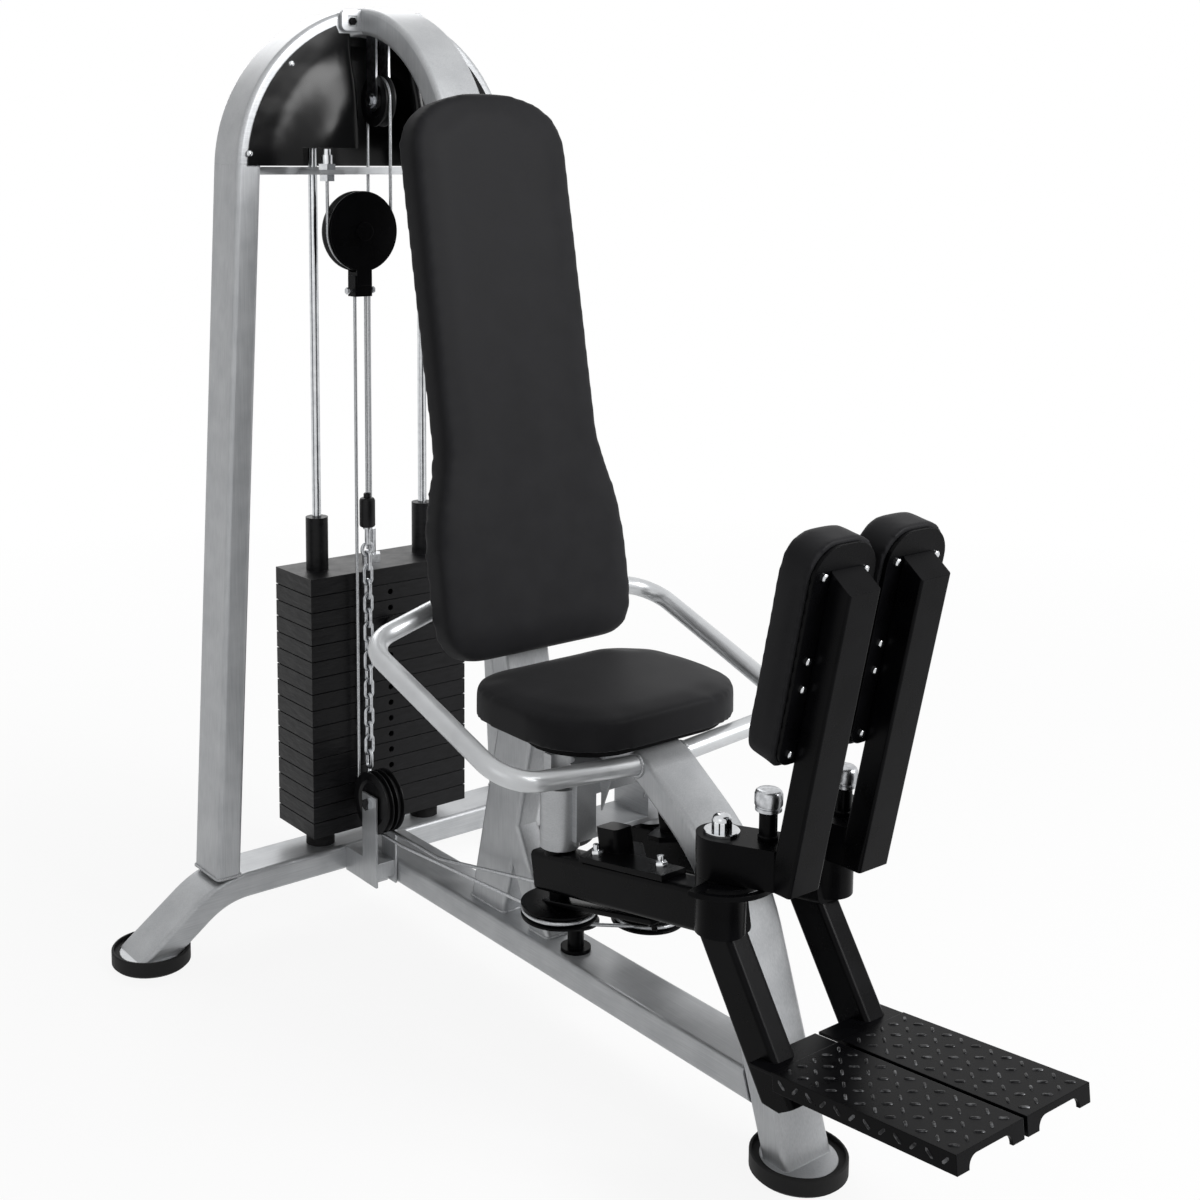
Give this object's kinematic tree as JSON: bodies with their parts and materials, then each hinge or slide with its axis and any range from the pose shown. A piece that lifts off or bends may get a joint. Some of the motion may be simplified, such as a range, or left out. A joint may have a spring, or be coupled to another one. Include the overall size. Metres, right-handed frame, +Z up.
{
  "type": "inner and outer thigh machine",
  "caption": "Seated gym machine for the inner and outer thigh, with swinging pad arms, a padded seat and backrest, and a selector weight stack driven by cables and pulleys.",
  "frame": {"origin": "on the floor under the middle of the machine's overall box", "axes": "+Z up, -Y towards the foot plates (the way the user faces), -X the user's right hand"},
  "size_m": [1.04, 1.4858, 1.629],
  "materials": {
    "frame_paint": "satin metallic powder coat",
    "black_paint": "satin black powder coat",
    "stack_steel": "matt black paint",
    "chrome": "bright plated",
    "bright_steel": "bright drawn",
    "cover": "textured moulded plastic",
    "pulley": "glass filled nylon",
    "rubber": "matt",
    "upholstery": "grained vinyl over foam",
    "board": "black stained plywood"
  },
  "bodies": {
    "frame": {"left_post": "frame_paint", "right_post": "frame_paint", "arch_top": "frame_paint", "rear_bow": "frame_paint", "spine_tube": "frame_paint", "spine_flange": "frame_paint", "main_beam": "frame_paint", "front_leg": "frame_paint", "seat_post": "frame_paint", "hip_housings": "frame_paint", "rod_crossbar": "frame_paint", "guide_rods": "chrome", "stack_bumpers": "rubber", "front_shroud": "cover", "rear_shroud": "cover", "frame_bolts": "chrome", "top_yoke": "frame_paint", "base_bracket": "frame_paint", "idler_mount": "black_paint", "cable_anchor": "chrome", "rubber_feet": "rubber", "right_handle": "frame_paint", "left_handle": "frame_paint", "back_board": "board", "back_pad": "upholstery", "seat_board": "board", "seat_pad": "upholstery", "pad_bolts": "chrome", "stack_cable": "bright_steel", "right_cable": "bright_steel", "left_cable": "bright_steel", "resting_plates": "stack_steel"},
    "weight_carriage": {"lifted_plates": "stack_steel", "head_plate": "stack_steel", "selector_stem": "bright_steel"},
    "selector_pin": {"selector_pin": "black_paint"},
    "pulley_block": {"floating_block": "black_paint", "length_sleeve": "black_paint", "chain": "bright_steel"},
    "float_wheel": {"floating_pulley": "pulley"},
    "top_wheel": {"top_pulley": "pulley"},
    "base_wheels": {"base_pulleys": "pulley"},
    "idler_wheel": {"idler_pulley": "pulley"},
    "right_arm": {"right_arm": "black_paint", "right_arm_fittings": "black_paint", "right_footplate": "black_paint"},
    "left_arm": {"left_arm": "black_paint", "left_arm_fittings": "black_paint", "left_footplate": "black_paint"},
    "right_carrier": {"right_carrier": "black_paint", "right_thigh_plate": "black_paint", "right_thigh_pad": "upholstery"},
    "left_carrier": {"left_carrier": "black_paint", "left_thigh_plate": "black_paint", "left_thigh_pad": "upholstery"},
    "right_pin": {"right_pull_pin": "chrome"},
    "left_pin": {"left_pull_pin": "chrome"}
  },
  "joints": [
    {"name": "right_arm_swing", "type": "hinge", "parent": "frame", "child": "right_arm", "pos_m": [-0.09, 0.01359, 0.392], "axis": [0, 0, -1], "range_deg": [0, 45]},
    {"name": "left_arm_swing", "type": "hinge", "parent": "frame", "child": "left_arm", "pos_m": [0.09, 0.01359, 0.392], "axis": [0, 0, 1], "range_deg": [0, 45]},
    {"name": "block_travel", "type": "slide", "parent": "frame", "child": "pulley_block", "axis": [0, 0, -1], "range_m": [0, 0.0395], "deforming": ["stack_cable", "right_cable", "left_cable", "chain"]},
    {"name": "weight_lift", "type": "slide", "parent": "frame", "child": "weight_carriage", "axis": [0, 0, 1], "range_m": [0, 0.079]},
    {"name": "float_wheel_spin", "type": "hinge", "parent": "pulley_block", "child": "float_wheel", "pos_m": [-0.069, 0.59459, 1.245], "axis": [0, 1, 0], "range_deg": [0, 36]},
    {"name": "top_wheel_spin", "type": "hinge", "parent": "frame", "child": "top_wheel", "pos_m": [-0.0025, 0.63459, 1.47], "axis": [0.9981, -0.0624, 0], "range_deg": [0, 112.6]},
    {"name": "base_wheel_spin", "type": "hinge", "parent": "frame", "child": "base_wheels", "pos_m": [-0.069, 0.54459, 0.238], "axis": [-1, 0, 0], "range_deg": [0, 45.2]},
    {"name": "idler_spin", "type": "hinge", "parent": "frame", "child": "idler_wheel", "pos_m": [-0.006, 0.07459, 0.188], "axis": [0, 0, 1], "range_deg": [0, 70.8]},
    {"name": "right_pad_swivel", "type": "hinge", "parent": "right_arm", "child": "right_carrier", "pos_m": [-0.105, -0.34041, 0.46], "axis": [0, 0, -1], "range_deg": [0, 90]},
    {"name": "left_pad_swivel", "type": "hinge", "parent": "left_arm", "child": "left_carrier", "pos_m": [0.105, -0.34041, 0.46], "axis": [0, 0, 1], "range_deg": [0, 90]},
    {"name": "right_pin_pull", "type": "slide", "parent": "right_carrier", "child": "right_pin", "axis": [0, 0, 1], "range_m": [0, 0.012], "stiffness_N_per_m": 500},
    {"name": "left_pin_pull", "type": "slide", "parent": "left_carrier", "child": "left_pin", "axis": [0, 0, 1], "range_m": [0, 0.012], "stiffness_N_per_m": 500},
    {"name": "selector_pull", "type": "slide", "parent": "weight_carriage", "child": "selector_pin", "axis": [0, -1, 0], "range_m": [0, 0.085]}
  ],
  "couplings": [
    {"joint": "left_arm_swing", "follows": "right_arm_swing", "ratio": 1},
    {"joint": "block_travel", "follows": "right_arm_swing", "m_per_rad": 0.05},
    {"joint": "weight_lift", "follows": "right_arm_swing", "m_per_rad": 0.1},
    {"joint": "float_wheel_spin", "follows": "right_arm_swing", "ratio": 0.78125},
    {"joint": "top_wheel_spin", "follows": "right_arm_swing", "ratio": 2.4951},
    {"joint": "base_wheel_spin", "follows": "right_arm_swing", "ratio": 1},
    {"joint": "idler_spin", "follows": "right_arm_swing", "ratio": 1.5625}
  ]
}
